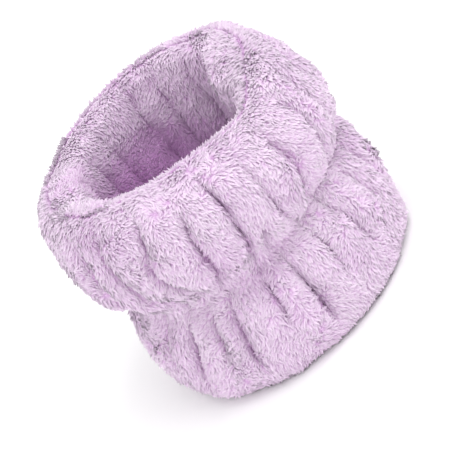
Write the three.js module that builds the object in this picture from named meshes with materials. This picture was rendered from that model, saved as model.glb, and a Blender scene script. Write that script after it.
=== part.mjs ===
// A plush wrist band: two gathered fleece tubes, one inside the other, sewn together at the rim
// and the hem, and drawn in at the waist by an elastic loop in a stitched channel.
// Millimetres, +Z up along the tube's axis, origin at the middle of the hem's flat face.
import * as THREE from "three";

// Driving dimensions.
const BAND_HEIGHT = 60;
const UPPER_LOBE_R = 36.5;
const LOWER_LOBE_R = 35.6;
const WAIST_R = 32.6;
const WAIST_Z = 27.5;
const BORE_R = 19.5;
const WAIST_BORE_R = 19;
const FLEECE_T = 5.2;

// Cloth pinched under the channel's stitches, and the gathers that it makes.
const PINCHED_LINING_T = 3.8;
const GATHER_COUNT = 16;
const GATHER_DEPTH = 1.3;
const GATHER_REACH = 15;
const GROOVE_DEPTH = 1.8;
const GROOVE_HALF_W = 1.4;
const WAIST_FLARE = 0.5;

// Rounding of the lobes towards the rim and the hem.
const RIM_ROUND = 8;
const RIM_CROWN_W = 3.4;
const RIM_CROWN_H = 1.4;
const HEM_ROUND = 1;
const ROUND_SHARE = 0.45;

// Elastic loop.
const ELASTIC_W = 6;
const ELASTIC_T = 1.2;
const ELASTIC_LAP = 14;
const LAP_RAMP = 0.5;
const LAP_STITCH_INSET = 1;

// Seams and threads.
const THREAD_D = 0.5;
const CLEARANCE = 0.3;
const SEAM_GAP = 0.3;
const LIP_T = 1.2;
const LIP_LENGTH = 4;
const STITCH_LENGTH = 7;
const CHANNEL_MARGIN = 1.2;
const HEM_FLAT_W = 4;
const SEAM_ANGLE = Math.PI;
const SEAM_SWING = 0.03;

// Sampling.
const ROUND_STEPS = 48;
const CURVE_STEPS = 7;
const SWING_STEPS = 8;
const THREAD_SIDES = 4;

// Places that follow from the sizes above.
const threadR = THREAD_D / 2;
const threadRoom = THREAD_D + 2 * CLEARANCE;
const overedgeRoom = threadRoom + CLEARANCE;
const liningBackR = WAIST_BORE_R + PINCHED_LINING_T;
const elasticR = liningBackR + overedgeRoom;
const lapOuterR = elasticR + 2 * ELASTIC_T + CLEARANCE;
const panelBackR = lapOuterR + threadRoom;
const channelLow = WAIST_Z - ELASTIC_W / 2 - CHANNEL_MARGIN;
const channelHigh = WAIST_Z + ELASTIC_W / 2 + CHANNEL_MARGIN;
const pocketInR = BORE_R + FLEECE_T;
const rimSeamR = (pocketInR + UPPER_LOBE_R - FLEECE_T) / 2;
const hemSeamR = (pocketInR + LOWER_LOBE_R - FLEECE_T) / 2;
const halfGap = SEAM_GAP / 2;
const lipReach = halfGap + LIP_T;
const seamReach = lipReach + overedgeRoom;
const upperBackR = Math.max(UPPER_LOBE_R - FLEECE_T, rimSeamR + seamReach);
const lowerBackR = Math.max(LOWER_LOBE_R - FLEECE_T, hemSeamR + seamReach);
const upperInnerR = Math.min(pocketInR, rimSeamR - seamReach);
const lowerInnerR = Math.min(pocketInR, hemSeamR - seamReach);
const rimEdgeZ = BAND_HEIGHT - FLEECE_T - LIP_LENGTH;
const hemEdgeZ = FLEECE_T + LIP_LENGTH;
const upperZ = (WAIST_Z + BAND_HEIGHT) / 2;
const lowerZ = WAIST_Z / 2;

const fleece = new THREE.MeshStandardMaterial({ color: "#dcc8e2", roughness: 0.95, metalness: 0 });
const lining = new THREE.MeshStandardMaterial({ color: "#c9aed2", roughness: 0.95, metalness: 0 });
const elastic = new THREE.MeshStandardMaterial({ color: "#f1eef2", roughness: 0.8, metalness: 0 });
const thread = new THREE.MeshStandardMaterial({ color: "#d3b9dc", roughness: 0.7, metalness: 0 });

const v2 = (r, z) => new THREE.Vector2(r, z);

// A smooth run through a few points, ends included.
function smoothRun(points, steps = CURVE_STEPS) {
  return new THREE.SplineCurve(points).getPoints(steps);
}

// A groove for a thread, in a face that looks away from the axis (side 1) or towards it (side -1).
function groove(r, z, side) {
  return [
    v2(r, z - GROOVE_HALF_W),
    v2(r - side * GROOVE_DEPTH, z),
    v2(r, z + GROOVE_HALF_W),
  ];
}

// How strongly the gathers show at a height: full at the waist, gone near the rim and the hem.
function gatherShare(z) {
  return Math.exp(-(((z - WAIST_Z) / GATHER_REACH) ** 2));
}

// Depth of the gathers' creases at an angle and a height.
function creaseDepth(theta, z) {
  return GATHER_DEPTH * gatherShare(z) * (0.5 - 0.5 * Math.cos(GATHER_COUNT * theta));
}

// A ring turned from a closed profile, creased by the gathers where onFace says so.
function gatheredRing(profile, onFace) {
  const geometry = new THREE.LatheGeometry([...profile, profile[0]], ROUND_STEPS);
  geometry.rotateX(Math.PI / 2);
  const place = geometry.getAttribute("position");
  for (let i = 0; i < place.count; i++) {
    const r = Math.hypot(place.getX(i), place.getY(i));
    const z = place.getZ(i);
    if (!onFace(r, z)) continue;
    const theta = Math.atan2(place.getY(i), place.getX(i));
    const moved = r - creaseDepth(theta, z);
    place.setXYZ(i, moved * Math.cos(theta), moved * Math.sin(theta), z);
  }
  return geometry;
}

// The outer tube's back, from the rim's lip down to the hem's lip.
function outerBack() {
  return [
    v2(rimSeamR + lipReach, BAND_HEIGHT - FLEECE_T),
    v2(rimSeamR + seamReach, BAND_HEIGHT - FLEECE_T),
    v2(upperBackR, upperZ),
    v2(panelBackR, channelHigh),
    v2(panelBackR, channelLow),
    v2(lowerBackR, lowerZ),
    v2(hemSeamR + seamReach, FLEECE_T),
    v2(hemSeamR + lipReach, FLEECE_T),
  ];
}

// The lining's back, from the rim's lip down to the hem's lip.
function liningBack() {
  return [
    v2(rimSeamR - lipReach, BAND_HEIGHT - FLEECE_T),
    v2(rimSeamR - seamReach, BAND_HEIGHT - FLEECE_T),
    v2(upperInnerR, upperZ),
    v2(liningBackR, channelHigh),
    v2(liningBackR, channelLow),
    v2(lowerInnerR, lowerZ),
    v2(hemSeamR - seamReach, FLEECE_T),
    v2(hemSeamR - lipReach, FLEECE_T),
  ];
}

// Radius of a back at a height, along its straight stretches.
function radiusAt(back, z) {
  const i = back.findIndex((point, k) => k > 1 && point.y <= z);
  const share = (z - back[i].y) / (back[i - 1].y - back[i].y);
  return THREE.MathUtils.lerp(back[i].x, back[i - 1].x, share);
}

// The outer tube: its visible face, the seam lips turned in at the rim and the hem, and its back.
function outerPanel() {
  const channelR = WAIST_R + WAIST_FLARE;
  const face = [
    v2(hemSeamR + halfGap, 0),
    ...smoothRun([
      v2(hemSeamR + halfGap + HEM_FLAT_W, 0),
      v2(LOWER_LOBE_R - HEM_ROUND, lowerZ * ROUND_SHARE),
      v2(LOWER_LOBE_R, lowerZ),
      v2(channelR, channelLow - GROOVE_HALF_W),
    ]),
    ...groove(channelR, channelLow, 1).slice(1),
    v2(WAIST_R, WAIST_Z),
    ...groove(channelR, channelHigh, 1),
    ...smoothRun([
      v2(channelR + HEM_ROUND, channelHigh + 2 * GROOVE_HALF_W),
      v2(UPPER_LOBE_R, upperZ),
      v2(UPPER_LOBE_R - 1.4, BAND_HEIGHT - RIM_ROUND),
      v2(rimSeamR + halfGap + RIM_CROWN_W, BAND_HEIGHT - RIM_CROWN_H),
      v2(rimSeamR + halfGap, BAND_HEIGHT),
    ], CURVE_STEPS + 3),
  ];
  const back = [
    v2(rimSeamR + halfGap, rimEdgeZ),
    v2(rimSeamR + lipReach, rimEdgeZ),
    ...outerBack(),
    v2(hemSeamR + lipReach, hemEdgeZ),
    v2(hemSeamR + halfGap, hemEdgeZ),
  ];
  const onFace = (r, z) => z > FLEECE_T && z < BAND_HEIGHT - FLEECE_T
    && r > radiusAt(outerBack(), z) + SEAM_GAP;
  return gatheredRing([...face, ...back], onFace);
}

// The lining tube: its bore face looks towards the wrist, and its back towards the pocket.
function liningPanel() {
  const back = [
    v2(hemSeamR - halfGap, hemEdgeZ),
    v2(hemSeamR - lipReach, hemEdgeZ),
    ...liningBack().reverse(),
    v2(rimSeamR - lipReach, rimEdgeZ),
    v2(rimSeamR - halfGap, rimEdgeZ),
  ];
  const bore = [
    ...smoothRun([
      v2(rimSeamR - halfGap, BAND_HEIGHT),
      v2(rimSeamR - halfGap - RIM_CROWN_W, BAND_HEIGHT - RIM_CROWN_H),
      v2(BORE_R + HEM_ROUND, BAND_HEIGHT - RIM_ROUND),
      v2(BORE_R, upperZ),
    ]),
    ...groove(WAIST_BORE_R, channelHigh, -1).reverse(),
    ...groove(WAIST_BORE_R, channelLow, -1).reverse(),
    ...smoothRun([
      v2(BORE_R, lowerZ),
      v2(BORE_R + HEM_ROUND, lowerZ * ROUND_SHARE),
      v2(hemSeamR - halfGap - HEM_FLAT_W, 0),
    ]),
    v2(hemSeamR - halfGap, 0),
  ];
  return gatheredRing([...back, ...bore], () => false);
}

// The elastic: a strip bent once round, with its cut end lapped over its start.
function elasticLoop() {
  const lapAngle = ELASTIC_LAP / (elasticR + ELASTIC_T);
  const end = 2 * Math.PI + lapAngle;
  const steps = ROUND_STEPS + 8;
  const lift = ELASTIC_T + CLEARANCE;
  const rampEnd = 2 * Math.PI - 0.05;
  const rampStart = rampEnd - LAP_RAMP;
  const inner = [];
  const outer = [];
  for (let i = 0; i <= steps; i++) {
    const angle = (end * i) / steps;
    const r = elasticR + lift * THREE.MathUtils.smoothstep(angle, rampStart, rampEnd);
    inner.push(v2(r * Math.cos(angle), r * Math.sin(angle)));
    outer.push(v2((r + ELASTIC_T) * Math.cos(angle), (r + ELASTIC_T) * Math.sin(angle)));
  }
  const strip = new THREE.Shape([...outer, ...inner.reverse()]);
  const geometry = new THREE.ExtrudeGeometry(strip, { depth: ELASTIC_W, bevelEnabled: false });
  return geometry.translate(0, 0, WAIST_Z - ELASTIC_W / 2);
}

// A path whose steps fall on its own points, so that every stitch has the same shape.
class StitchPath extends THREE.CatmullRomCurve3 {
  getPointAt(share, target) {
    return this.getPoint(share, target);
  }

  getTangentAt(share, target) {
    return this.getTangent(share, target);
  }
}

// A thread that closes on itself, through points given by an angle.
function threadLoop(pointAt, count) {
  const points = [];
  for (let i = 0; i < count; i++) points.push(pointAt((2 * Math.PI * i) / count, i));
  const path = new StitchPath(points, true);
  return new THREE.TubeGeometry(path, count, threadR, THREAD_SIDES, true);
}

// A thread with two ends, through a list of points.
function threadRun(points, steps) {
  const section = new THREE.Shape();
  section.absarc(0, 0, threadR, 0, 2 * Math.PI);
  return new THREE.ExtrudeGeometry(section, {
    steps,
    curveSegments: THREAD_SIDES / 2,
    bevelEnabled: false,
    extrudePath: new THREE.CatmullRomCurve3(points),
  });
}

const polar = (r, theta, z) => new THREE.Vector3(r * Math.cos(theta), r * Math.sin(theta), z);

// A channel's needle thread, in the groove round the outside.
function needleThread(z) {
  const lift = threadR + 1.6 * CLEARANCE;
  const r = WAIST_R + WAIST_FLARE - GROOVE_DEPTH + lift;
  return threadLoop((theta) => polar(r - creaseDepth(theta, z), theta, z), ROUND_STEPS);
}

// A channel's bobbin thread, in the groove round the bore.
function bobbinThread(z) {
  const r = WAIST_BORE_R + GROOVE_DEPTH - threadR - 1.6 * CLEARANCE;
  return threadLoop((theta) => polar(r, theta, z), ROUND_STEPS);
}

// An overedge thread, which swings under the raw edges of the two lips from side to side.
function overedgeThread(seamR, edgeZ, up) {
  const stitches = Math.round((2 * Math.PI * seamR) / STITCH_LENGTH);
  const under = 2 * CLEARANCE + threadR;
  const half = lipReach + under;
  const climb = LIP_LENGTH / 2;
  const count = stitches * SWING_STEPS;
  const pointAt = (theta, i) => {
    const swing = Math.cos((2 * Math.PI * i) / SWING_STEPS);
    const side = Math.sign(swing) * Math.sqrt(Math.abs(swing));
    const rise = (climb + under) * swing ** 6 - under;
    return polar(seamR + side * half, theta, edgeZ + up * rise);
  };
  return threadLoop(pointAt, count);
}

// A side seam's thread: a zigzag down a panel's back, from below the rim to above the hem.
function sideSeamThread(back, offset) {
  const low = hemEdgeZ + overedgeRoom;
  const high = rimEdgeZ - overedgeRoom;
  const stitches = Math.round((high - low) / (STITCH_LENGTH / 2));
  const points = [];
  for (let i = 0; i <= stitches; i++) {
    const z = low + ((high - low) * i) / stitches;
    const swing = (i % 2 ? 1 : -1) * SEAM_SWING;
    points.push(polar(radiusAt(back, z) + offset, SEAM_ANGLE + swing, z));
  }
  return threadRun(points, stitches * 2);
}

// The zigzag that fastens the elastic's lap, on the lap's outside.
function lapStitch() {
  const lapAngle = ELASTIC_LAP / (elasticR + ELASTIC_T);
  const r = lapOuterR + CLEARANCE + threadR;
  const turns = 8;
  const points = [];
  for (let i = 0; i <= turns; i++) {
    const theta = lapAngle * (0.2 + (0.6 * i) / turns);
    const z = WAIST_Z + (i % 2 ? 1 : -1) * (ELASTIC_W / 2 - LAP_STITCH_INSET);
    points.push(polar(r, theta, z));
  }
  return threadRun(points, turns * 4);
}

const band = new THREE.Group();

function add(name, geometry, material) {
  const mesh = new THREE.Mesh(geometry, material);
  mesh.name = name;
  band.add(mesh);
}

add("outer_fleece_panel", outerPanel(), fleece);
add("lining_fleece_panel", liningPanel(), lining);
add("waist_elastic", elasticLoop(), elastic);
add("elastic_lap_stitch", lapStitch(), thread);
add("upper_channel_needle_thread", needleThread(channelHigh), thread);
add("upper_channel_bobbin_thread", bobbinThread(channelHigh), thread);
add("lower_channel_needle_thread", needleThread(channelLow), thread);
add("lower_channel_bobbin_thread", bobbinThread(channelLow), thread);
add("rim_overedge_thread", overedgeThread(rimSeamR, rimEdgeZ, 1), thread);
add("hem_overedge_thread", overedgeThread(hemSeamR, hemEdgeZ, -1), thread);
add("outer_side_seam_thread", sideSeamThread(outerBack(), -2 * CLEARANCE - threadR), thread);
add("lining_side_seam_thread", sideSeamThread(liningBack(), 2 * CLEARANCE + threadR), thread);

export default band;
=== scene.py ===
"""A plush wrist wash band: two gathered coral fleece tubes sewn together at the rim and the hem.

The band stands on its hem with +Z along its axis. An elastic loop in a stitched channel draws the
waist in, which throws both lobes into soft pleats. Lengths in this file are millimetres unless a
name says otherwise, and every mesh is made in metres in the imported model's frame.
"""

from __future__ import annotations

import logging
import math
import random
from dataclasses import dataclass, field
from enum import Enum
from typing import Any, Iterable

import bmesh
import bpy
import numpy as np
from mathutils import Matrix, Vector, noise

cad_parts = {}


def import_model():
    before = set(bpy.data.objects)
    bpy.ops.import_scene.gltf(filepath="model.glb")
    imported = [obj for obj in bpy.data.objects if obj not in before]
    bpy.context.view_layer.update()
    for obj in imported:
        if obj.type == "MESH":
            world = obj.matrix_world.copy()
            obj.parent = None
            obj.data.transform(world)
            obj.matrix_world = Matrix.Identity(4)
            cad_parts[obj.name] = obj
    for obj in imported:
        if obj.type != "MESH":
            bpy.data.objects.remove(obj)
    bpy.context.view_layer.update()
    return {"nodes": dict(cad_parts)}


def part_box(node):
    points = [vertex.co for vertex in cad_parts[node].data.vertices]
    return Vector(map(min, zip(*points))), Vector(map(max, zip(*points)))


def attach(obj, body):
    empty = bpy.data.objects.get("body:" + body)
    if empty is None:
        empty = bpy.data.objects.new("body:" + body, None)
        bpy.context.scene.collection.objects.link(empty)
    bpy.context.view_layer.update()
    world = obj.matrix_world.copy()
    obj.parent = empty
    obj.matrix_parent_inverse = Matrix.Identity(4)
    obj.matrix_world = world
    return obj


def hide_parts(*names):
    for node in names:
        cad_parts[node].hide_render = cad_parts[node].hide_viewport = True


LOG = logging.getLogger("wrist_band")
MM = 0.001
WAVE_RATE = 20.0  # radians that a wave texture of scale 1 turns through in one unit


class Side(Enum):
    """Which of the band's two cloth tubes a piece belongs to."""

    OUTER = "outer"
    LINING = "lining"


# ---------------------------------------------------------------- colours and nodes


def linear(code: str, alpha: float = 1.0) -> tuple[float, float, float, float]:
    """Turns an sRGB hex code into the linear colour that Blender's sockets take.

    Args:
        code: six hex digits, with or without a leading #.
        alpha: opacity.

    Returns:
        Linear red, green, blue and alpha.
    """
    digits = code.lstrip("#")
    shares = [int(digits[i : i + 2], 16) / 255 for i in (0, 2, 4)]
    parts = [s / 12.92 if s <= 0.04045 else ((s + 0.055) / 1.055) ** 2.4 for s in shares]
    return parts[0], parts[1], parts[2], alpha


def add_node(
    tree: bpy.types.NodeTree,
    kind: str,
    inputs: dict[str | int, Any] | None = None,
    **settings: Any,
) -> bpy.types.Node:
    """Adds a node, sets its properties, and fills or links its inputs.

    Args:
        tree: the node tree to add to.
        kind: the node's type name.
        inputs: a value for each input, by name or number; a socket is linked.
        **settings: the node's own properties.

    Returns:
        The new node.
    """
    node = tree.nodes.new(kind)
    for name, value in settings.items():
        setattr(node, name, value)
    for key, value in (inputs or {}).items():
        socket = node.inputs[key]
        if isinstance(value, bpy.types.NodeSocket):
            tree.links.new(value, socket)
        else:
            socket.default_value = value
    return node


def set_ramp(node: bpy.types.Node, stops: Iterable[tuple[float, str]]) -> None:
    """Gives a colour ramp its stops, as (place, hex code) pairs."""
    ramp = node.color_ramp
    wanted = list(stops)
    while len(ramp.elements) < len(wanted):
        ramp.elements.new(0.5)
    for element, (place, code) in zip(ramp.elements, wanted):
        element.position = place
        element.color = linear(code)


def new_material(name: str) -> tuple[bpy.types.Material, bpy.types.NodeTree, bpy.types.Node]:
    """Makes an empty material with a Principled shader.

    Args:
        name: the material's name.

    Returns:
        The material, its node tree and the shader node.
    """
    material = bpy.data.materials.new(name)
    material.use_nodes = True
    tree = material.node_tree
    tree.nodes.clear()
    shader = add_node(tree, "ShaderNodeBsdfPrincipled")
    add_node(tree, "ShaderNodeOutputMaterial", {"Surface": shader.outputs["BSDF"]})
    return material, tree, shader


def add_bands(
    tree: bpy.types.NodeTree,
    shader: bpy.types.Node,
    period_mm: float,
    stops: list[tuple[float, str]],
    direction: str = "Z",
    distortion: float = 0.0,
    detail: float = 2.0,
) -> bpy.types.NodeSocket:
    """Colours a shader in soft, even bands.

    Args:
        tree: the material's node tree.
        shader: the shader to colour.
        period_mm: the width of one dark and one light band.
        stops: the colour ramp's (place, hex code) pairs.
        direction: the axis that the bands are stacked along.
        distortion: how far noise bends the bands.
        detail: how fine that noise is.

    Returns:
        The bands' height, for a bump.
    """
    coords = add_node(tree, "ShaderNodeTexCoord")
    wave = add_node(
        tree,
        "ShaderNodeTexWave",
        {
            "Vector": coords.outputs["Object"],
            "Scale": math.tau / (period_mm * MM) / WAVE_RATE,
            "Distortion": distortion,
            "Detail": detail,
        },
        bands_direction=direction,
    )
    ramp = add_node(tree, "ShaderNodeValToRGB", {"Fac": wave.outputs["Fac"]})
    set_ramp(ramp, stops)
    tree.links.new(ramp.outputs["Color"], shader.inputs["Base Color"])
    return wave.outputs["Fac"]


def add_bump(
    tree: bpy.types.NodeTree,
    shader: bpy.types.Node,
    height: bpy.types.NodeSocket,
    strength: float,
    depth_mm: float,
) -> None:
    """Raises a shader's surface by a height pattern."""
    inputs = {"Strength": strength, "Distance": depth_mm * MM, "Height": height}
    bump = add_node(tree, "ShaderNodeBump", inputs)
    tree.links.new(bump.outputs["Normal"], shader.inputs["Normal"])


def dress(mesh: bpy.types.Mesh, material: bpy.types.Material) -> None:
    """Makes a material the only one on a mesh."""
    mesh.materials.clear()
    mesh.materials.append(material)


# ---------------------------------------------------------------- finishes


@dataclass(frozen=True)
class CoralFleece:
    """Brushed polyester coral fleece pile: matte tufts, with painted shade at the root and a painted highlight
    at the pale tip.

    The split fibres scatter light softly, which gives the eye a velvety edge and no highlight.
    """

    name: str = "coral_fleece_pile"
    # root to tip: the fleece's colour, with painted shade at the root and a painted highlight at the tip
    root: str = "#dbb0df"
    shaft: str = "#ebd5ec"
    tip: str = "#f7eff7"
    # crease: painted shade for pile deep in a crease or down the bore
    crease: str = "#cc9fcf"
    plain: str = "#f3e9f4"
    pale: str = "#fdfafd"
    roughness: float = 0.85
    sheen: float = 0.15

    def build(self) -> bpy.types.Material:
        """Builds the material, which reads tone with painted shade, and height with painted root shade and tip
        highlight, from the tufts' own map.
        """
        material, tree, shader = new_material(self.name)
        place = add_node(tree, "ShaderNodeUVMap", uv_map="OFBake")
        split = add_node(tree, "ShaderNodeSeparateXYZ", {0: place.outputs["UV"]})
        # painted shade at the root, rising to a painted highlight at the tip
        height = add_node(tree, "ShaderNodeValToRGB", {"Fac": split.outputs["Y"]})
        set_ramp(height, [(0.0, self.root), (0.5, self.shaft), (1.0, self.tip)])
        # random tone, darkened towards the crease colour as painted shade
        tone = add_node(tree, "ShaderNodeValToRGB", {"Fac": split.outputs["X"]})
        set_ramp(tone, [(0.0, self.crease), (0.45, self.plain), (1.0, self.pale)])
        mixed = add_node(
            tree,
            "ShaderNodeMix",
            {"Factor": 1.0, 6: height.outputs["Color"], 7: tone.outputs["Color"]},
            data_type="RGBA",
            blend_type="MULTIPLY",
        )
        tree.links.new(mixed.outputs[2], shader.inputs["Base Color"])
        shader.inputs["Roughness"].default_value = self.roughness
        shader.inputs["Sheen Weight"].default_value = self.sheen
        shader.inputs["Sheen Roughness"].default_value = 0.5
        shader.inputs["Specular IOR Level"].default_value = 0.2
        return material


@dataclass(frozen=True)
class KnitGround:
    """The fleece's knitted ground: fine courses, matte, and deeper in colour than the pile."""

    name: str = "knitted_ground"
    thread: str = "#e6c6e8"
    gap: str = "#d9b2dc"
    course_mm: float = 0.9
    wander: float = 1.5
    relief_mm: float = 0.15
    roughness: float = 0.95

    def build(self) -> bpy.types.Material:
        """Builds the material, with its courses across the band's axis."""
        material, tree, shader = new_material(self.name)
        stops = [(0.2, self.gap), (0.8, self.thread)]
        height = add_bands(tree, shader, self.course_mm, stops, distortion=self.wander, detail=1.0)
        add_bump(tree, shader, height, 0.4, self.relief_mm)
        shader.inputs["Roughness"].default_value = self.roughness
        return material


@dataclass(frozen=True)
class WovenElastic:
    """Woven rubber-cored tape: lengthwise ribs, matte off-white."""

    name: str = "woven_elastic"
    rib: str = "#f3f0f4"
    groove: str = "#cfc8d2"
    rib_mm: float = 0.7
    relief_mm: float = 0.2
    roughness: float = 0.8

    def build(self) -> bpy.types.Material:
        """Builds the material, with ribs stacked across the tape's width."""
        material, tree, shader = new_material(self.name)
        height = add_bands(tree, shader, self.rib_mm, [(0.1, self.groove), (0.6, self.rib)])
        add_bump(tree, shader, height, 0.6, self.relief_mm)
        shader.inputs["Roughness"].default_value = self.roughness
        return material


@dataclass(frozen=True)
class SpunThread:
    """Spun polyester sewing thread: two plies twisted together, slightly glossy."""

    name: str = "spun_polyester_thread"
    light: str = "#e2cfe8"
    dark: str = "#b391bd"
    ply_mm: float = 0.6
    wander: float = 0.5
    roughness: float = 0.6

    def build(self) -> bpy.types.Material:
        """Builds the material, with the plies' twist as slanting bands."""
        material, tree, shader = new_material(self.name)
        stops = [(0.1, self.dark), (0.7, self.light)]
        add_bands(tree, shader, self.ply_mm, stops, direction="DIAGONAL", distortion=self.wander)
        shader.inputs["Roughness"].default_value = self.roughness
        return material


# ---------------------------------------------------------------- the band's form


def smooth_step(edge0: float, edge1: float, x: float) -> float:
    """Rises smoothly from 0 at edge0 to 1 at edge1."""
    share = min(1.0, max(0.0, (x - edge0) / (edge1 - edge0)))
    return share * share * (3 - 2 * share)


def plateau(start: float, full: float, wane: float, end: float, x: float) -> float:
    """Rises from 0 to 1 between start and full, and falls back between wane and end."""
    return smooth_step(start, full, x) * smooth_step(end, wane, x)


def spline(points: list[tuple[float, float]], steps: int) -> list[tuple[float, float]]:
    """Runs a smooth curve through a few points.

    Args:
        points: (radius, height) pairs.
        steps: how many pieces each stretch between two points is cut into.

    Returns:
        The curve's points, ends included.
    """
    padded = [points[0], *points, points[-1]]
    run = []
    for i in range(len(points) - 1):
        a, b, c, d = (Vector(p) for p in padded[i : i + 4])
        for k in range(steps):
            t = k / steps
            curve = 2 * b + (c - a) * t + (2 * a - 5 * b + 4 * c - d) * t**2
            curve += (3 * b - a - 3 * c + d) * t**3
            run.append(tuple(0.5 * curve))
    run.append(points[-1])
    return run


@dataclass(frozen=True)
class Crease:
    """One crease between two pleats, as a path from its upper end to its lower end.

    Attributes:
        stops: (height, degrees from the front) pairs, from high to low.
        depth: how deep the crease is pressed in.
        reach: how far the crease's slopes spread to each side.
    """

    stops: tuple[tuple[float, float], ...]
    depth: float = 3.4
    reach: float = 4.8

    def angle_at(self, z: float) -> float:
        """Angle from the front, in radians, at a height, held beyond the ends."""
        stops = self.stops
        if z >= stops[0][0]:
            return math.radians(stops[0][1])
        for (high, a), (low, b) in zip(stops, stops[1:]):
            if z >= low:
                return math.radians(b + (a - b) * smooth_step(low, high, z))
        return math.radians(stops[-1][1])

    def share_at(self, z: float, fade: float) -> float:
        """How strongly the crease shows at a height: it fades out over its ends."""
        high = self.stops[0][0]
        low = self.stops[-1][0]
        past = fade * 0.4
        return smooth_step(high + past, high - fade, z) * smooth_step(low - past, low + fade, z)

    def press(self, theta: float, z: float, radius: float, fade: float) -> float:
        """Depth of the crease at a point of the cloth.

        Args:
            theta: angle from the front, in radians.
            z: height.
            radius: the cloth's radius there.
            fade: length over which the crease's ends fade.

        Returns:
            How far the cloth is pressed in.
        """
        away = (theta - self.angle_at(z) + math.pi) % math.tau - math.pi
        near = abs(away) * radius / self.reach
        if near >= 1:
            return 0.0
        hollow = 1 - math.sqrt(1 - (1 - near) ** 2)
        return self.depth * hollow * self.share_at(z, fade)


def back_creases(seed: int, start: float, end: float, step: float, upper: float, lower: float) -> list[Crease]:
    """Creases round the part of the band that has no listed ones.

    Args:
        seed: the random seed.
        start: first angle, in degrees from the front.
        end: last angle.
        step: usual angle between creases.
        upper: usual height of the upper ends.
        lower: usual height of the lower ends.

    Returns:
        The creases.
    """
    draw = random.Random(seed)
    creases = []
    angle = start
    while angle <= end:
        top = upper + draw.uniform(-5, 5)
        foot = lower + draw.uniform(-5, 4)
        bend = draw.uniform(-5, 5)
        creases.append(
            Crease(
                (
                    (top, angle + draw.uniform(-3, 3)),
                    (42.0, angle),
                    (30.0, angle + bend * 0.5),
                    (20.0, angle + bend),
                    (foot, angle + bend + draw.uniform(-2, 2)),
                ),
                depth=draw.uniform(2.6, 4.4),
                reach=draw.uniform(4.4, 5.6),
            )
        )
        angle += step + draw.uniform(-2.5, 2.5)
    return creases


def theta_from(theta: float, degrees: float) -> float:
    """The angle between a direction and one given in degrees from the front, in radians."""
    return (theta - math.radians(degrees) + math.pi) % math.tau - math.pi


@dataclass(frozen=True)
class Swell:
    """A smooth hump that fades away to both sides of one direction round the band.

    Attributes:
        size: how high it is.
        degrees: its direction, from the front.
        width: how far round it spreads, in radians.
    """

    size: float
    degrees: float
    width: float

    def at(self, theta: float) -> float:
        """Its height in a direction."""
        return self.size * math.exp(-((theta_from(theta, self.degrees) / self.width) ** 2))


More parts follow.
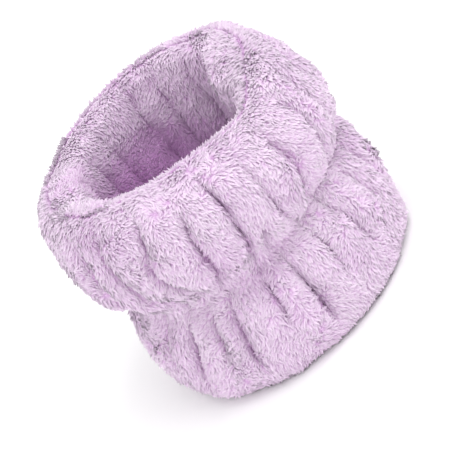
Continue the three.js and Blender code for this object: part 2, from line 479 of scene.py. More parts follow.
@dataclass
class BandForm:
    """The band's shape: where its two cloth tubes run and where their pleats lie.

    The heights and radii are those of the cloth at the roots of its pile. A span is the pair
    of heights between which an effect fades in. A lobe is the four heights of its plateau.
    """

    height: float
    lobe_r: float
    # The seams, their lips, and how far the cloth near them is held still.
    pile: float = 1.3
    foot_share: float = 0.9
    waist_z: float = 28.0
    rim_seam_r: float = 28.0
    hem_seam_r: float = 27.55
    lip: float = 7.5
    lip_fringe: float = 2.0
    seam_gap: float = 0.05
    seam_flat: float = 1.0
    free_span: tuple[float, float] = (0.2, 4.5)
    # The room that the lining leaves for the elastic and for the rim's lips.
    elastic_room_r: float = 23.0
    elastic_z: tuple[float, float] = (21.5, 31.5)
    lip_room_r: float = 25.9
    lip_room_z: float = 56.3
    lip_tuck: float = 0.5
    lip_tuck_r: float = 22.3
    lip_tuck_span: tuple[float, float] = (40.0, 51.0)
    # Creases: how their ends fade, and how the elastic's pull flattens them at the waist.
    crease_fade: float = 6.0
    deepest: float = 4.6
    drawn_reach: float = 3.5
    drawn_share: float = 0.7
    # Slack: the (size, height) of its wide and its fine undulations.
    slack_wide: tuple[float, float] = (13.0, 1.1)
    slack_fine: tuple[float, float] = (5.5, 0.5)
    slack_up_share: float = 0.7
    # The opening isn't quite round, and its wall stands further in on the right.
    bore_flat: float = 2.2
    bore_flat_span: tuple[float, float] = (20.0, 50.0)
    bore_shift: tuple[float, float] = (0.8, 0.6)
    right_wall: Swell = Swell(5.2, 84, 0.5)
    right_wall_span: tuple[float, float] = (25.0, 48.0)
    # The lobes are a little wider than deep, and each slumps its own way.
    width_share: float = 1.02
    lower_lobe: tuple[float, float, float, float] = (1.0, 8.0, 26.0, 31.0)
    low_tilt: float = 2.0
    low_shift: float = 0.8
    low_shift_span: tuple[float, float] = (26.0, 8.0)
    upper_lobe: tuple[float, float, float, float] = (29.0, 36.0, 40.0, 50.0)
    upper_bulge: float = 0.8
    # The rim's line.
    rim_span: tuple[float, float] = (36.0, 58.0)
    rim_dip: Swell = Swell(3.0, 32, 0.5)
    rim_rise: Swell = Swell(1.2, -40, 0.45)
    rim_dip_out: float = 0.5
    rim_wave: float = 1.3
    rim_waves: float = 2.6
    creases: list[Crease] = field(default_factory=list)
    bore_creases: list[Crease] = field(default_factory=list)

    def __post_init__(self) -> None:
        """Places the creases: those in front listed one by one, the rest by seeded chance."""
        self.creases = [
            Crease(((58, -51), (50, -55), (40, -52), (30, -45), (22, -53), (9, -57)), 5.4, 5.8),
            Crease(((57, -70), (47, -66), (30, -62), (20, -68), (8, -71)), 4.6, 5.2),
            Crease(((58, -30), (50, -33), (43, -38), (32, -33), (22, -38), (12, -41)), 4.2, 5.0),
            Crease(((54, -14), (45, -17), (36, -18), (30, -23), (22, -28), (8, -30.5)), 4.4, 5.2),
            Crease(((58, -0.5), (48, 0), (40, -1.5), (31, -4), (25, -8.5), (13, -9.5)), 4.2, 5.0),
            Crease(((39, 5), (31, 3.5), (22, 3.8), (13, 4.5), (4, 3.5)), 4.2, 4.8),
            Crease(((55, 15), (46, 15), (36, 14), (28, 19), (20, 20), (10, 19)), 3.0, 5.0),
            Crease(((55, 31), (44, 31), (34, 29), (27, 33), (18, 36), (9, 37)), 3.8, 5.4),
            Crease(((57, 46), (48, 49), (38, 47), (28, 50), (18, 54), (10, 55)), 3.0, 5.4),
            Crease(((57, 61), (50, 60), (38, 64), (26, 67), (12, 70)), 3.2, 5.4),
            Crease(((60, -90), (44, -89), (30, -88), (16, -90), (2, -90)), 1.8, 4.4),
        ]
        self.creases += back_creases(7, 77, 256, 15.5, 55, 8)
        self.bore_creases = [
            Crease(((60, 98), (46, 100), (26, 102), (8, 100)), 2.6, 6.0),
            Crease(((60, 117), (48, 120), (30, 122), (8, 120)), 2.8, 5.6),
            Crease(((60, 136), (48, 142), (30, 144), (8, 140)), 3.2, 6.0),
            Crease(((60, 160), (50, 163), (34, 166), (12, 164)), 2.8, 5.2),
            Crease(((60, 176), (48, 180), (30, 180), (6, 181)), 3.4, 6.0),
            Crease(((58, 208), (46, 205), (28, 206), (10, 204)), 2.8, 6.0),
            Crease(((59, 226), (44, 221), (24, 224), (8, 222)), 3.2, 5.6),
        ]
        self.bore_creases += back_creases(11, 246, 460, 24, 52, 12)

    @property
    def top(self) -> float:
        """The rim seam's height."""
        return self.height - self.pile

    @property
    def foot(self) -> float:
        """The hem seam's height."""
        return self.pile * self.foot_share

    def outer_outline(self) -> list[tuple[float, float]]:
        """The outer tube's outline, from the hem's lip to the rim's lip, as (radius, height)."""
        top, foot = self.top, self.foot
        rim = self.rim_seam_r + self.seam_gap
        hem = self.hem_seam_r + self.seam_gap
        big = self.lobe_r - self.pile
        face = spline(
            [
                (hem, foot),
                (hem + 4.2, foot + 0.1),
                (big - 1.0, 5.6),
                (big - 0.2, 12.5),
                (big - 1.1, 19.5),
                (big - 3.5, 24.6),
                (big - 5.8, self.waist_z),
                (big - 3.6, 31.2),
                (big - 0.4, 36.0),
                (big + 0.3, 43.0),
                (big - 0.6, 50.0),
                (big - 3.0, 55.4),
                (rim, top),
            ],
            6,
        )
        hem_lip = [(hem, foot + self.lip), (hem, foot + self.lip_fringe)]
        rim_lip = [(rim, top - self.lip_fringe), (rim, top - self.lip)]
        return hem_lip + face + rim_lip

    def lining_outline(self) -> list[tuple[float, float]]:
        """The lining's outline, from the rim's lip to the hem's lip, as (radius, height)."""
        top, foot = self.top, self.foot
        rim = self.rim_seam_r - self.seam_gap
        hem = self.hem_seam_r - self.seam_gap
        face = spline(
            [
                (rim, top),
                (24.9, 56.4),
                (23.2, 51.5),
                (22.2, 44.0),
                (21.4, 35.0),
                (20.8, self.waist_z),
                (21.2, 20.0),
                (21.9, 11.0),
                (23.4, 4.8),
                (hem, foot),
            ],
            6,
        )
        rim_lip = [(rim, top - self.lip), (rim, top - self.lip_fringe)]
        hem_lip = [(hem, foot + self.lip_fringe), (hem, foot + self.lip)]
        return rim_lip + face + hem_lip

    def outline(self, side: Side) -> list[tuple[float, float]]:
        """The outline of one tube."""
        return self.outer_outline() if side is Side.OUTER else self.lining_outline()

    def pressed(self, side: Side, theta: float, place: tuple[float, float]) -> float:
        """How deep the creases press a point of a tube in.

        Args:
            side: which tube.
            theta: angle from the front, in radians.
            place: the point's (radius, height) on the plain outline.

        Returns:
            The depth, less near the two seams and at the waist.
        """
        r, z = place
        creases = self.creases if side is Side.OUTER else self.bore_creases
        depth = max((c.press(theta, z, r, self.crease_fade) for c in creases), default=0.0)
        drawn = math.exp(-(((z - self.waist_z) / self.drawn_reach) ** 2))
        return depth * (1 - self.drawn_share * drawn) * self.free(place)

    def lining_room(self, theta: float, place: tuple[float, float]) -> float:
        """The largest radius that keeps the lining clear of the elastic and the rim's lips."""
        if self.free(place) == 0:
            return place[0]
        z = place[1]
        moved = self.bore_shift[0] * math.sin(theta) - self.bore_shift[1] * math.cos(theta)
        past_elastic = max(self.elastic_z[0] - z, z - self.elastic_z[1], 0.0)
        by_elastic = self.elastic_room_r + past_elastic
        by_lips = self.lip_room_r + max(0.0, z - self.lip_room_z)
        return min(by_elastic, by_lips) - max(0.0, moved)

    def free(self, place: tuple[float, float]) -> float:
        """How free of the two seams a point is, from 0 on a seam or its lips to 1."""
        r, z = place
        seam_r = self.rim_seam_r if z > self.waist_z else self.hem_seam_r
        if abs(r - seam_r) < 2 * self.seam_gap:
            return 0.0
        seam_z = self.top if z > self.waist_z else self.pile
        away = max(0.0, abs(z - seam_z) - self.seam_flat)
        return smooth_step(*self.free_span, math.hypot(r - seam_r, away))

    def shaped(self, side: Side, theta: float, place: tuple[float, float], out: tuple[float, float]) -> Vector:
        """Where a point of a turned tube goes once the pleats and the slack are in.

        Args:
            side: which tube.
            theta: angle from the front, in radians.
            place: the point's (radius, height) on the plain outline.
            out: the outline's outward direction there, as (radial, up).

        Returns:
            The point, in millimetres.
        """
        r, z = place
        free = self.free(place)
        seed = 3.1 if side is Side.OUTER else 9.7
        around = Vector((math.sin(theta) * r, -math.cos(theta) * r, z))
        slack = noise.noise(around / self.slack_wide[0] + Vector((seed, 0, 0))) * self.slack_wide[1]
        slack += noise.noise(around / self.slack_fine[0] + Vector((0, seed, 0))) * self.slack_fine[1]
        move = slack * free - self.pressed(side, theta, place)
        r += out[0] * move
        z += out[1] * move * self.slack_up_share
        rim = smooth_step(*self.rim_span, place[1])
        dip = self.rim_dip.at(theta)
        dip -= self.rim_rise.at(theta)
        wave = noise.noise(Vector((math.cos(theta), math.sin(theta), 2.5)) * self.rim_waves)
        z += (self.rim_wave * wave - dip) * rim
        if side is Side.LINING:
            r += self.bore_flat * math.cos(2 * theta) * free * smooth_step(*self.bore_flat_span, z)
            r += dip * self.rim_dip_out * rim * free
            r -= self.right_wall.at(theta) * free * smooth_step(*self.right_wall_span, z)
            tuck = self.lip_tuck * free * smooth_step(*self.lip_tuck_span, place[1])
            r -= tuck * max(0.0, r - self.lip_tuck_r)
            r = min(r, self.lining_room(theta, place))
        z += self.low_tilt * math.sin(theta) * plateau(*self.lower_lobe, place[1])
        bulge = self.upper_bulge * plateau(*self.upper_lobe, place[1])
        x = math.sin(theta) * r * self.width_share + max(0.0, math.sin(theta)) * bulge
        x -= self.low_shift * smooth_step(*self.low_shift_span, place[1])
        y = -math.cos(theta) * r
        if side is Side.LINING:
            x += self.bore_shift[0] * free
            y += self.bore_shift[1] * free
        return Vector((x, y, z))


# ---------------------------------------------------------------- cloth


def make_object(name: str, mesh: bpy.types.Mesh) -> bpy.types.Object:
    """Links a mesh into the scene as an object at the origin."""
    made = bpy.data.objects.new(name, mesh)
    bpy.context.scene.collection.objects.link(made)
    return made


def finished_mesh(source: bpy.types.Object, name: str) -> bpy.types.Mesh:
    """The mesh that an object's modifiers give, as a mesh of its own."""
    graph = bpy.context.evaluated_depsgraph_get()
    mesh = bpy.data.meshes.new_from_object(source.evaluated_get(graph), depsgraph=graph)
    mesh.name = name
    return mesh


@dataclass
class ClothTube:
    """One fleece tube: its knitted ground, and the sheet that its pile grows from."""

    form: BandForm
    side: Side
    steps: int = 252
    ground_mm: float = 0.7
    # painted shade down the bore, eased on the right inner wall where the light falls
    bore_shade: float = 0.95
    lit: Swell = Swell(1.0, 125, 0.75)
    shade_span: tuple[float, float] = (62.0, 38.0)
    lit_drop: tuple[float, float] = (12.0, 16.0)
    lit_share: float = 0.3

    def sheet_mesh(self) -> bpy.types.Mesh:
        """Turns the outline round the axis and puts the pleats in.

        Returns:
            The sheet, with each point's nap and kind stored on it.
        """
        outline = self.form.outline(self.side)
        bm = bmesh.new()
        along = bm.verts.layers.float.new("along")
        crease = bm.verts.layers.float.new("crease")
        rise = bm.verts.layers.float.new("rise")
        row = []
        for i, (r, z) in enumerate(outline):
            vert = bm.verts.new((0, -r * MM, z * MM))
            vert[along] = i
            row.append(vert)
        edges = [bm.edges.new(pair) for pair in zip(row, row[1:])]
        bmesh.ops.spin(
            bm,
            geom=row + edges,
            cent=(0, 0, 0),
            axis=(0, 0, 1),
            angle=math.tau,
            steps=self.steps,
            use_merge=True,
        )
        bmesh.ops.remove_doubles(bm, verts=bm.verts[:], dist=1e-6)
        for vert in bm.verts:
            i = round(vert[along])
            theta = math.atan2(vert.co.x, -vert.co.y)
            before = Vector(outline[max(i - 1, 0)])
            after = Vector(outline[min(i + 1, len(outline) - 1)])
            run = (after - before).normalized()
            vert[rise] = (1 - self.form.free(outline[i])) ** 5
            # painted shade, which is also the crease depth that shortens the tufts
            vert[crease] = self.shade(theta, outline[i])
            vert.co = self.form.shaped(self.side, theta, outline[i], (run.y, -run.x)) * MM
        bmesh.ops.recalc_face_normals(bm, faces=bm.faces[:])
        self.face_out(bm)
        mesh = self.in_order(bm)
        bm.free()
        return mesh

    def in_order(self, bm: bmesh.types.BMesh) -> bpy.types.Mesh:
        """Writes the sheet out with its faces in a fixed order.

        The operators above leave the faces in an order that changes from run to run, and the
        scatter of the pile follows that order.
        """
        bm.verts.index_update()
        faces = []
        for face in bm.faces:
            corners = [vert.index for vert in face.verts]
            first = corners.index(min(corners))
            faces.append(corners[first:] + corners[:first])
        mesh = bpy.data.meshes.new(f"{self.side.value}_sheet")
        mesh.from_pydata([vert.co for vert in bm.verts], [], sorted(faces))
        for name in ("along", "crease", "rise"):
            layer = bm.verts.layers.float.get(name)
            stored = mesh.attributes.new(name, "FLOAT", "POINT")
            stored.data.foreach_set("value", [vert[layer] for vert in bm.verts])
        return mesh

    def shade(self, theta: float, place: tuple[float, float]) -> float:
        """How deep in a crease, or down the bore, a point lies, from 0 to 1: the pile's painted shade, which
        also shortens its tufts.
        """
        depth = self.form.pressed(self.side, theta, place) / self.form.deepest
        if self.side is Side.LINING:
            # painted shade: the pile darkens down the bore, less on the lit right wall
            lit = self.lit.at(theta)
            start, end = (z - drop * lit for z, drop in zip(self.shade_span, self.lit_drop))
            down = smooth_step(start, end, place[1])
            depth = max(depth, self.bore_shade * (1 - self.lit_share * lit) * down)
        return min(depth, 1.0)

    def face_out(self, bm: bmesh.types.BMesh) -> None:
        """Turns the faces so that the outer tube looks out and the lining looks into the bore."""
        middle = self.form.height * 0.7 * MM
        face = min(bm.faces, key=lambda f: abs(f.calc_center_median().z - middle))
        centre = face.calc_center_median()
        away = face.normal.dot(Vector((centre.x, centre.y, 0)))
        wanted = 1 if self.side is Side.OUTER else -1
        if away * wanted < 0:
            bmesh.ops.reverse_faces(bm, faces=bm.faces[:])

    def ground(self, sheet: bpy.types.Mesh, material: bpy.types.Material) -> bpy.types.Object:
        """Gives the sheet its thickness as the knitted ground.

        Args:
            sheet: the sheet.
            material: the ground's material.

        Returns:
            The ground, as an object.
        """
        draft = make_object("draft", sheet.copy())
        solid = draft.modifiers.new("thickness", "SOLIDIFY")
        solid.thickness = self.ground_mm * MM
        solid.offset = -1
        mesh = finished_mesh(draft, f"{self.side.value}_fleece_ground")
        bpy.data.objects.remove(draft)
        mesh.shade_smooth()
        dress(mesh, material)
        return make_object(mesh.name, mesh)


# ---------------------------------------------------------------- pile


@dataclass
class Tuft:
    """One clump of fibres: a bent, tapering, three-sided blade with an open root."""

    length: float = 1.9
    sunk: float = 0.4
    root_r: float = 0.24
    bend: float = 0.55
    sides: int = 3
    rings: tuple[tuple[float, float], ...] = ((0.55, 0.32), (1.0, 0.05))

    def build(self) -> bpy.types.Object:
        """Builds the tuft at its real size, growing along +Z and leaning to +X.

        Returns:
            The tuft, as an object that the pile copies.
        """
        bm = bmesh.new()
        maps = bm.loops.layers.uv.new("tuft_map")
        bmesh.ops.create_circle(bm, segments=self.sides, radius=self.root_r * MM)
        edges = bm.edges[:]
        radius = self.root_r
        height = 0.0
        for share, next_radius in self.rings:
            out = bmesh.ops.extrude_edge_only(bm, edges=edges)
            ring = [v for v in out["geom"] if isinstance(v, bmesh.types.BMVert)]
            edges = [e for e in out["geom"] if isinstance(e, bmesh.types.BMEdge)]
            edges = [e for e in edges if all(v in ring for v in e.verts)]
            grow = next_radius / radius
            bmesh.ops.scale(bm, vec=(grow, grow, 1), verts=ring)
            bmesh.ops.translate(bm, vec=(0, 0, (share * self.length - height) * MM), verts=ring)
            radius = next_radius
            height = share * self.length
        bmesh.ops.pointmerge(bm, verts=ring, merge_co=(0, 0, self.length * MM))
        bmesh.ops.recalc_face_normals(bm, faces=bm.faces[:])
        for vert in bm.verts:
            share = vert.co.z / (self.length * MM)
            vert.co.x += self.bend * share**1.8 * MM
        for face in bm.faces:
            for loop in face.loops:
                turn = math.atan2(loop.vert.co.y, loop.vert.co.x) / math.tau + 0.5
                loop[maps].uv = (turn, loop.vert.co.z / (self.length * MM))
        bmesh.ops.translate(bm, vec=(0, 0, -self.sunk * MM), verts=bm.verts[:])
        mesh = bpy.data.meshes.new("tuft")
        bm.to_mesh(mesh)
        bm.free()
        mesh.shade_smooth()
        return make_object("tuft", mesh)


@dataclass
class Graph:
    """A geometry node group being built, with a short call for each sum that it needs."""

    tree: bpy.types.NodeTree

    def add(self, kind: str, inputs: Any = None, out: str | int = 0, **settings: Any) -> bpy.types.NodeSocket:
        """Adds a node and returns one of its outputs."""
        return add_node(self.tree, kind, inputs, **settings).outputs[out]

    def vector(self, operation: str, first: Any, second: Any = None, scale: Any = None) -> Any:
        """One vector sum: an operation on one or two vectors, or a scaling."""
        inputs: dict[str | int, Any] = {0: first}
        if second is not None:
            inputs[1] = second
        if scale is not None:
            inputs["Scale"] = scale
        return self.add("ShaderNodeVectorMath", inputs, operation=operation)

    def times_plus(self, value: Any, factor: Any, extra: Any) -> bpy.types.NodeSocket:
        """A value times a factor, plus an extra."""
        return self.add("ShaderNodeMath", {0: value, 1: factor, 2: extra}, operation="MULTIPLY_ADD")

    def named(self, name: str, data_type: str = "FLOAT") -> bpy.types.NodeSocket:
        """An attribute, by its name."""
        return self.add("GeometryNodeInputNamedAttribute", {"Name": name}, data_type=data_type)

    def chance(self, low: Any, high: Any, seed: int) -> bpy.types.NodeSocket:
        """A random vector for each tuft."""
        inputs = {"Min": low, "Max": high, "Seed": seed}
        return self.add("FunctionNodeRandomValue", inputs, data_type="FLOAT_VECTOR")

    def noise(self, size_mm: float, out: str, detail: float, roughness: float = 0.5) -> bpy.types.NodeSocket:
        """A noise texture over the cloth, with patches of about a given size."""
        place = self.add("GeometryNodeInputPosition")
        inputs = {"Vector": place, "Scale": 1 / (size_mm * MM), "Detail": detail, "Roughness": roughness}
        return self.add("ShaderNodeTexNoise", inputs, out)

    def push(self, size_mm: float, strength: float, detail: float, roughness: float = 0.5) -> Any:
        """A noise texture as a vector about zero, at a strength."""
        colour = self.noise(size_mm, "Color", detail, roughness)
        return self.vector("SCALE", self.vector("SUBTRACT", colour, (0.5, 0.5, 0.5)), scale=strength)

    def store(self, geometry: Any, name: str, value: Any, data_type: str, domain: str) -> Any:
        """Keeps a value on a geometry under a name."""
        inputs = {"Geometry": geometry, "Name": name, "Value": value}
        kind = "GeometryNodeStoreNamedAttribute"
        return self.add(kind, inputs, data_type=data_type, domain=domain)


@dataclass
class Pile:
    """The tufts on one sheet, in sectors small enough to stay separate light pieces."""

    form: BandForm
    side: Side
    tuft: bpy.types.Object
    material: bpy.types.Material
    sectors: int
    per_mm2: float = 22.0
    gap: float = 0.28
    seed: int = 5
    clump_mm: float = 2.6
    sweep_mm: float = 10.0
    clump_lean: float = 1.5
    sweep_lean: float = 1.6
    droop: float = 0.35
    lift: float = 0.8
    seam_lift: float = 1.6
    tilt: tuple[float, float, float] = (0.25, 0.25, 0.9)
    smallest: tuple[float, float, float] = (0.75, 0.75, 0.6)
    largest: tuple[float, float, float] = (1.25, 1.25, 1.3)
    crease_shorter: float = 0.4
    patch_mm: float = 12.0
    patch_range: tuple[float, float] = (0.3, 0.7)
    patch_darkest: float = 0.4
    chance_share: float = 0.3
    # painted shade: the crease and bore depths over which the tone darkens
    crease_range: tuple[float, float] = (0.25, 0.95)
    map_spread: float = 0.04
    map_reach: float = 0.9
    softness: float = 0.87
    sky: float = 0.3
    floor_z: float = 0.01

    def sector_sheet(self, sheet: bpy.types.Mesh, index: int) -> bpy.types.Object:
        """Cuts one sector out of the sheet, without the seams' lips.

        Args:
            sheet: the whole sheet.
            index: which sector.

        Returns:
            The sector, as an object.
        """
        bm = bmesh.new()
        bm.from_mesh(sheet)
        along = bm.verts.layers.float.get("along")
        last = len(self.form.outline(self.side)) - 1
        width = math.tau / self.sectors
        spare = []
        for face in bm.faces:
            middle = face.calc_center_median()
            theta = math.atan2(middle.x, -middle.y) % math.tau
            lip = any(v[along] < 1 or v[along] > last - 1 for v in face.verts)
            if lip or int(theta / width) % self.sectors != index:
                spare.append(face)
        bmesh.ops.delete(bm, geom=spare, context="FACES")
        mesh = bpy.data.meshes.new("sector")
        bm.to_mesh(mesh)
        bm.free()
        return make_object("sector", mesh)

    def grow_tree(self) -> bpy.types.NodeTree:
        """Builds the node group that scatters, turns, sizes, tints and maps the tufts.

        Returns:
            The geometry node group.
        """
        tree = bpy.data.node_groups.new("grow_pile", "GeometryNodeTree")
        for way in ("INPUT", "OUTPUT"):
            tree.interface.new_socket("Geometry", in_out=way, socket_type="NodeSocketGeometry")
        graph = Graph(tree)
        points = add_node(
            tree,
            "GeometryNodeDistributePointsOnFaces",
            {
                "Mesh": graph.add("NodeGroupInput"),
                "Distance Min": self.gap * MM,
                "Density Max": self.per_mm2 / MM**2,
                "Seed": self.seed,
            },
            distribute_method="POISSON",
        )
        normal = points.outputs["Normal"]
        crease = graph.named("crease")
        tuft = graph.add("GeometryNodeObjectInfo", {"Object": self.tuft, "As Instance": True}, "Geometry")
        copies = graph.add(
            "GeometryNodeInstanceOnPoints",
            {
                "Points": points.outputs["Points"],
                "Instance": tuft,
                "Rotation": self.turn(graph, normal),
                "Scale": self.size(graph, crease),
            },
        )
        kept = graph.store(copies, "tone", self.tone(graph, crease), "FLOAT", "INSTANCE")
        kept = graph.store(kept, "cloth_normal", normal, "FLOAT_VECTOR", "INSTANCE")
        real = graph.add("GeometryNodeRealizeInstances", {"Geometry": kept})
        add_node(tree, "NodeGroupOutput", {0: self.map_tufts(graph, real)})
        return tree

    def turn(self, graph: Graph, normal: bpy.types.NodeSocket) -> bpy.types.NodeSocket:
        """Each tuft's rotation: up from the cloth, leaning with its clump, and a little at random."""
        lean = graph.vector(
            "ADD",
            graph.push(self.clump_mm, self.clump_lean, detail=1.0, roughness=0.6),
            graph.push(self.sweep_mm, self.sweep_lean, detail=0.0),
        )
        lean = graph.vector("ADD", lean, (0.0, 0.0, -self.droop))
        inward = graph.add("ShaderNodeVectorMath", {0: lean, 1: normal}, "Value", operation="DOT_PRODUCT")
        along = graph.vector("SCALE", normal, scale=inward)
        flat = graph.vector("NORMALIZE", graph.vector("SUBTRACT", lean, along))
        lift = graph.times_plus(graph.named("rise"), self.seam_lift, self.lift)
        heading = graph.vector("ADD", flat, graph.vector("SCALE", normal, scale=lift))
        align = "FunctionNodeAlignRotationToVector"
        upright = graph.add(align, {"Vector": heading}, axis="Z")
        turned = graph.add(align, {"Rotation": upright, "Vector": flat}, axis="X", pivot_axis="Z")
        spin = graph.chance(tuple(-t for t in self.tilt), self.tilt, self.seed + 1)
        inputs = {"Rotation": turned, "Rotate By": spin}
        return graph.add("FunctionNodeRotateRotation", inputs, rotation_space="LOCAL")

    def size(self, graph: Graph, crease: bpy.types.NodeSocket) -> bpy.types.NodeSocket:
        """Each tuft's size: a little at random, and smaller in a crease."""
        shorter = graph.times_plus(crease, -self.crease_shorter, 1.0)
        return graph.vector("SCALE", graph.chance(self.smallest, self.largest, self.seed + 2), scale=shorter)

    def tone(self, graph: Graph, crease: bpy.types.NodeSocket) -> bpy.types.NodeSocket:
        """Each tuft's tone and painted shade, from 0 deep in a crease or down the bore to 1 where the pile is
        palest.

        Args:
            graph: the node group.
            crease: how deep in a crease or down the bore each tuft stands, which sets its painted shade.

        Returns:
            The tone: patches a centimetre or two wide and chance within them, times painted shade in the
                creases and down the bore.
        """
        patch = graph.noise(self.patch_mm, "Fac", detail=2.0)
        low, high = self.patch_range
        wide = {"Value": patch, "From Min": low, "From Max": high, "To Min": self.patch_darkest}
        seed = {2: 0.0, 3: 1.0, "Seed": self.seed + 3}
        chance = graph.add("FunctionNodeRandomValue", seed, 1, data_type="FLOAT")
        wide = graph.add("ShaderNodeMapRange", wide)
        mixed = {"Factor": self.chance_share, 2: wide, 3: chance}
        mixed = graph.add("ShaderNodeMix", mixed, data_type="FLOAT")
        # painted shade: deep in a crease or down the bore the tone falls to 0
        low, high = self.crease_range
        deep = {"Value": crease, "From Min": low, "From Max": high, "To Min": 1.0, "To Max": 0.0}
        return graph.times_plus(mixed, graph.add("ShaderNodeMapRange", deep), 0.0)

    def map_tufts(self, graph: Graph, tufts: bpy.types.NodeSocket) -> bpy.types.NodeSocket:
        """Lays every tuft on the map: its tone and painted shade across, its height up.

        Args:
            graph: the node group.
            tufts: the real tufts.

        Returns:
            The mapped tufts.
        """
        own = graph.named("tuft_map", "FLOAT_VECTOR")
        split = add_node(graph.tree, "ShaderNodeSeparateXYZ", {0: own})
        across = graph.times_plus(split.outputs["X"], self.map_spread, 0.0)
        across = graph.times_plus(graph.named("tone"), self.map_reach, across)
        place = graph.add("ShaderNodeCombineXYZ", {"X": across, "Y": split.outputs["Y"]})
        stored = graph.store(tufts, "OFBake", place, "FLOAT2", "CORNER")
        for name in ("tuft_map", "tone", "along", "crease", "rise"):
            stored = graph.add("GeometryNodeRemoveAttribute", {"Geometry": stored, "Name": name})
        return stored

    def grow(self, sheet: bpy.types.Mesh) -> list[bpy.types.Object]:
        """Grows the pile on the sheet, one sector at a time.

        Args:
            sheet: the sheet.

        Returns:
            The pile's sectors, as objects.
        """
        tree = self.grow_tree()
        grown = []
        for index in range(self.sectors):
            base = self.sector_sheet(sheet, index)
            growth = base.modifiers.new("pile", "NODES")
            growth.node_group = tree
            mesh = finished_mesh(base, f"{self.side.value}_pile_{index + 1}")
            bpy.data.objects.remove(base)
            dress(mesh, self.material)
            self.settle(mesh)
            grown.append(make_object(mesh.name, mesh))
        return grown

    def settle(self, mesh: bpy.types.Mesh) -> None:
        """Flattens the pile under the hem onto the floor and softens its shading.

        A tuft's fibres scatter light among their neighbours, so it is lit nearly as the cloth
        under it is. Its normals are turned most of the way to the cloth's.

        Args:
            mesh: the grown pile.
        """
        count = len(mesh.vertices)
        places = np.empty(count * 3)
        mesh.vertices.foreach_get("co", places)
        places = places.reshape(-1, 3)
        places[:, 2] = np.maximum(places[:, 2], self.floor_z * MM)
        mesh.vertices.foreach_set("co", places.ravel())
        mesh.shade_smooth()
        mesh.update()
        own = np.empty(count * 3, dtype=np.float32)
        mesh.vertex_normals.foreach_get("vector", own)
        cloth = np.empty(count * 3, dtype=np.float32)
        stored = mesh.attributes["cloth_normal"]
        stored.data.foreach_get("vector", cloth)
        mixed = (own * (1 - self.softness) + cloth * self.softness).reshape(-1, 3)
        mixed[:, 2] += self.sky
        mixed /= np.maximum(np.linalg.norm(mixed, axis=1, keepdims=True), 1e-6)
        mesh.attributes.remove(stored)
        mesh.normals_split_custom_set_from_vertices(mixed.tolist())


# ---------------------------------------------------------------- stitching


def thread_loop(
    name: str, run: list[Vector], radius: float, material: bpy.types.Material
) -> bpy.types.Object:
    """Makes a closed loop of sewing thread.

    Args:
        name: the piece's name.
        run: the points that the thread's middle passes through, in millimetres.
        radius: the thread's radius, in millimetres.
        material: the thread's material.

    Returns:
        The thread, as an object.
    """
    curve = bpy.data.curves.new(name, "CURVE")
    curve.dimensions = "3D"
    curve.bevel_depth = radius * MM
    curve.bevel_resolution = 1
    path = curve.splines.new("POLY")
    path.points.add(len(run) - 1)
    path.use_cyclic_u = True
    for point, at in zip(path.points, run):
        point.co = (*(at * MM), 1)
    draft = bpy.data.objects.new("draft", curve)
    bpy.context.scene.collection.objects.link(draft)
    mesh = finished_mesh(draft, name)
    bpy.data.objects.remove(draft)
    dress(mesh, material)
    mesh.shade_smooth()
    return make_object(name, mesh)


@dataclass
class StitchRow:
    """One row of sewing thread round the waist, lying on a tube's cloth and dipping through it."""

    form: BandForm
    side: Side
    height: float
    stitch: float = 3.4
    thread_r: float = 0.22
    proud: float = 0.2
    dip: float = 0.9
    samples: int = 8

    def place(self) -> tuple[float, float]:
        """The row's (radius, height) on the tube's plain outline."""
        face = self.form.outline(self.side)[2:-2]
        for (r0, z0), (r1, z1) in zip(face, face[1:]):
            if (z0 - self.height) * (z1 - self.height) <= 0 and abs(z1 - z0) > 1e-6:
                return r0 + (r1 - r0) * (self.height - z0) / (z1 - z0), self.height
        raise ValueError(f"no cloth at height {self.height}")

    def build(self, name: str, material: bpy.types.Material) -> bpy.types.Object:
        """Builds the row as a closed thread.

        Args:
            name: the piece's name.
            material: the thread's material.

        Returns:
            The thread, as an object.
        """
        r, z = self.place()
        outward = 1 if self.side is Side.OUTER else -1
        count = round(math.tau * r / self.stitch) * self.samples
        run = []
        for i in range(count):
            theta = math.tau * i / count
            lying = abs(math.sin(math.pi * i / self.samples)) ** 0.5
            lift = self.proud - self.dip * (1 - lying)
            at = self.form.shaped(self.side, theta, (r, z), (outward, 0.0))
            run.append(at + Vector((math.sin(theta), -math.cos(theta), 0)) * lift * outward)
        return thread_loop(name, run, self.thread_r, material)


@dataclass
class OveredgeRow:
    """The thread that wraps the raw edges of the two lips at one seam.

    Attributes:
        form: the band's shape.
        edge: the (radius, height) of the lips' raw edges.
        toward_seam: 1 where the seam lies above the raw edges, -1 where it lies below.
    """

    form: BandForm
    edge: tuple[float, float]
    toward_seam: int
    wrap: float = 3.0
    half_width: float = 1.1
    climb: float = 2.2
    past_edge: float = 0.35
    thread_r: float = 0.22
    samples: int = 12

    def build(self, name: str, material: bpy.types.Material) -> bpy.types.Object:
        """Builds the row as a closed thread that winds round the lips.

        Args:
            name: the piece's name.
            material: the thread's material.

        Returns:
            The thread, as an object.
        """
        count = round(math.tau * self.edge[0] / self.wrap) * self.samples
        half_height = (self.climb + self.past_edge) / 2
        run = []
        for i in range(count):
            theta = math.tau * i / count
            turn = math.tau * i / self.samples
            across = self.half_width * math.cos(turn)
            along = half_height * (1 + math.sin(turn)) - self.past_edge
            at = self.form.shaped(Side.OUTER, theta, self.edge, (1.0, 0.0))
            at += Vector((math.sin(theta), -math.cos(theta), 0)) * across
            at.z += along * self.toward_seam
            run.append(at)
        return thread_loop(name, run, self.thread_r, material)


# ---------------------------------------------------------------- studio


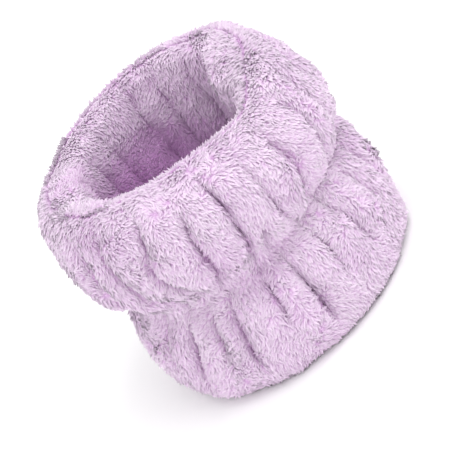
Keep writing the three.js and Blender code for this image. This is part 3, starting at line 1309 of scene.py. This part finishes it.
@dataclass
class Studio:
    """A pale floor, soft white light all round, and the camera."""

    centre: Vector
    distance_mm: float = 520.0
    lens_mm: float = 170.0
    elevation: float = math.radians(29)
    roll: float = math.radians(43)
    aim_mm: tuple[float, float] = (3.4, -7.1)
    floor_colour: str = "#fafafa"
    floor_half_m: float = 4.0
    floor_roughness: float = 0.9
    sky_strength: float = 1.06
    key: tuple[tuple[float, float, float], float, float] = ((0.45, -0.25, 0.9), 0.7, 4.2)
    fill: tuple[tuple[float, float, float], float, float] = ((-0.7, -0.6, 0.5), 0.9, 1.5)

    def camera(self) -> None:
        """Places the camera in front of the band, above it, and rolled clockwise."""
        data = bpy.data.cameras.new("camera")
        data.lens = self.lens_mm
        data.sensor_width = 36
        data.clip_start = 0.01
        forward = Vector((0, math.cos(self.elevation), -math.sin(self.elevation)))
        level_right = Vector((1, 0, 0))
        level_up = Vector((0, math.sin(self.elevation), math.cos(self.elevation)))
        up = level_up * math.cos(self.roll) + level_right * math.sin(self.roll)
        right = level_right * math.cos(self.roll) - level_up * math.sin(self.roll)
        aim = self.centre + (right * self.aim_mm[0] + up * self.aim_mm[1]) * MM
        turn = Matrix((right, up, -forward)).transposed()
        made = bpy.data.objects.new("camera", data)
        made.matrix_world = Matrix.Translation(aim - forward * self.distance_mm * MM) @ turn.to_4x4()
        bpy.context.scene.collection.objects.link(made)
        bpy.context.scene.camera = made

    def softbox(self, name: str, place: tuple[float, float, float], size: float, watts: float) -> None:
        """Hangs a square softbox that faces the band.

        Args:
            name: the light's name.
            place: its place in metres.
            size: its side in metres.
            watts: its power.
        """
        data = bpy.data.lights.new(name, "AREA")
        data.size = size
        data.energy = watts
        made = bpy.data.objects.new(name, data)
        made.location = place
        toward = self.centre - Vector(place)
        made.rotation_euler = toward.to_track_quat("-Z", "Y").to_euler()
        bpy.context.scene.collection.objects.link(made)

    def build(self) -> None:
        """Builds the floor, the lights, the world and the camera."""
        bm = bmesh.new()
        bmesh.ops.create_grid(bm, x_segments=1, y_segments=1, size=self.floor_half_m)
        mesh = bpy.data.meshes.new("floor")
        bm.to_mesh(mesh)
        bm.free()
        material, _, shader = new_material("pale_floor")
        shader.inputs["Base Color"].default_value = linear(self.floor_colour)
        shader.inputs["Roughness"].default_value = self.floor_roughness
        mesh.materials.append(material)
        make_object("floor", mesh)
        world = bpy.data.worlds.new("studio")
        world.use_nodes = True
        sky = world.node_tree.nodes["Background"]
        sky.inputs["Color"].default_value = (1, 1, 1, 1)
        sky.inputs["Strength"].default_value = self.sky_strength
        bpy.context.scene.world = world
        self.softbox("key", *self.key)
        self.softbox("fill", *self.fill)
        self.camera()
        bpy.context.scene.view_settings.view_transform = "Standard"
        bpy.context.scene.view_settings.look = "None"


# ---------------------------------------------------------------- assembly


def main() -> None:
    """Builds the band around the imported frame, piece by piece."""
    logging.basicConfig(level=logging.INFO, format="%(message)s")
    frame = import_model()
    low, high = (Vector(corner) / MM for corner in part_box("outer_fleece_panel"))
    form = BandForm(height=high.z - low.z, lobe_r=(high.x - low.x) / 2)
    fleece = CoralFleece().build()
    ground = KnitGround().build()
    tuft = Tuft().build()
    thread = SpunThread().build()
    rows = {
        Side.OUTER: ("upper_channel_needle_thread", "lower_channel_needle_thread"),
        Side.LINING: ("upper_channel_bobbin_thread", "lower_channel_bobbin_thread"),
    }
    rim_edge = (form.rim_seam_r, form.top - form.lip)
    hem_edge = (form.hem_seam_r, form.foot + form.lip)
    wraps = {
        "rim_overedge_thread": OveredgeRow(form, rim_edge, 1),
        "hem_overedge_thread": OveredgeRow(form, hem_edge, -1),
    }
    sectors = {Side.OUTER: 6, Side.LINING: 4}
    for side, node, slot in (
        (Side.OUTER, "outer_fleece_panel", "fleece"),
        (Side.LINING, "lining_fleece_panel", "lining_fleece"),
    ):
        tube = ClothTube(form, side)
        sheet = tube.sheet_mesh()
        cloth = tube.ground(sheet, ground)
        pile = Pile(form, side, tuft, fleece, sectors[side]).grow(sheet)
        for piece in (cloth, *pile):
            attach(piece, "root")
            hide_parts(node)
            LOG.info("%s: %d faces", piece.name, len(piece.data.polygons))
        threads: dict[str, StitchRow | OveredgeRow] = {}
        for row in rows[side]:
            box_low, box_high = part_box(row)
            threads[row] = StitchRow(form, side, (box_low[2] + box_high[2]) / 2 / MM)
        if side is Side.OUTER:
            threads |= wraps
        for row, maker in threads.items():
            stitched = maker.build(f"{row}_stitches", thread)
            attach(stitched, "root")
            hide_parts(row)
    bpy.data.objects.remove(tuft)
    elastic = WovenElastic().build()
    for name, node in frame["nodes"].items():
        if name.endswith(("thread", "stitch")):
            dress(node.data, thread)
        elif name == "waist_elastic":
            dress(node.data, elastic)
    Studio(Vector((0, 0, form.height / 2 * MM))).build()


if __name__ == "__main__":
    main()
